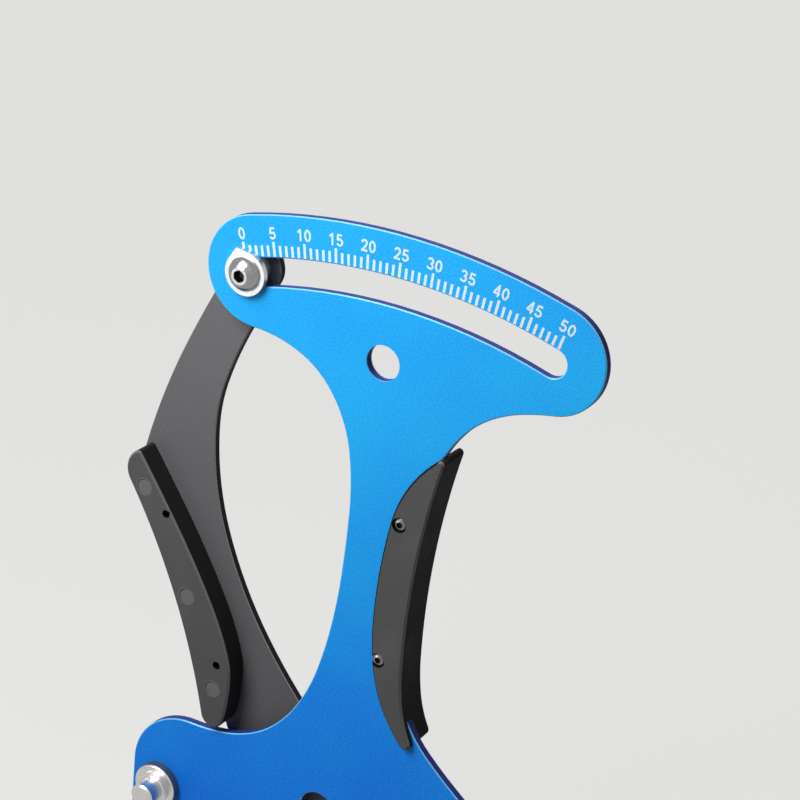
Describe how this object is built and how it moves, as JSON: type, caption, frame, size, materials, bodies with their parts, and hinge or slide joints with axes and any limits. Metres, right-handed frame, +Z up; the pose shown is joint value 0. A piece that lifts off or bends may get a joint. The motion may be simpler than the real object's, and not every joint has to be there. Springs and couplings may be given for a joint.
{
  "type": "spoke tension meter",
  "caption": "Hand tool that reads the tension of a wheel spoke: a slotted dial plate with two fixed posts and a sprung lever with a post and a pointer.",
  "frame": {"origin": "centre of the hang hole on the front face of the body plate", "axes": "+Z up along the neck towards the scale, +X to the right as the scale is read, +Y to the back; the dial side faces -Y"},
  "size_m": [0.1119, 0.0245, 0.1684],
  "materials": {
    "blue_anodised": "blue anodised over fine sand blasting, satin",
    "black_anodised": "black anodised over fine sand blasting, satin",
    "grip_plastic": "moulded, fine matt grain",
    "black_screw": "black oxide",
    "turned_steel": "turned, fine rings",
    "bright_screw": "polished",
    "bush_brass": "turned",
    "spring_wire": "drawn music wire",
    "black_steel": "black oxide, oiled",
    "dark_spacer": "turned acetal, matt"
  },
  "bodies": {
    "frame": {"body_plate": "blue_anodised", "fixed_post_left": "turned_steel", "fixed_post_right": "turned_steel", "fixed_post_screws": "bright_screw", "grip_right": "grip_plastic", "grip_right_screws": "black_screw", "pivot_bolt": "bright_screw", "pivot_washer": "turned_steel", "spring_arbor": "turned_steel", "pivot_cap": "bright_screw", "spring_anchor": "turned_steel", "torsion_spring": "spring_wire"},
    "lever": {"lever_plate": "black_anodised", "pivot_bushing": "bush_brass", "moving_post": "turned_steel", "moving_post_screw": "bright_screw", "spring_post": "black_steel", "pointer_blade": "turned_steel", "pointer_spacer": "dark_spacer", "pointer_screw": "bright_screw", "pointer_nut": "bright_screw", "grip_left": "grip_plastic", "grip_left_screws": "black_screw"}
  },
  "joints": [
    {"name": "lever_squeeze", "type": "hinge", "parent": "frame", "child": "lever", "pos_m": [0.0017, 0, -0.1167], "axis": [0, 1, 0], "range_deg": [0, 31.7], "stiffness_Nm_per_rad": 1, "springref_deg": -57.3, "deforming": ["torsion_spring"]}
  ]
}
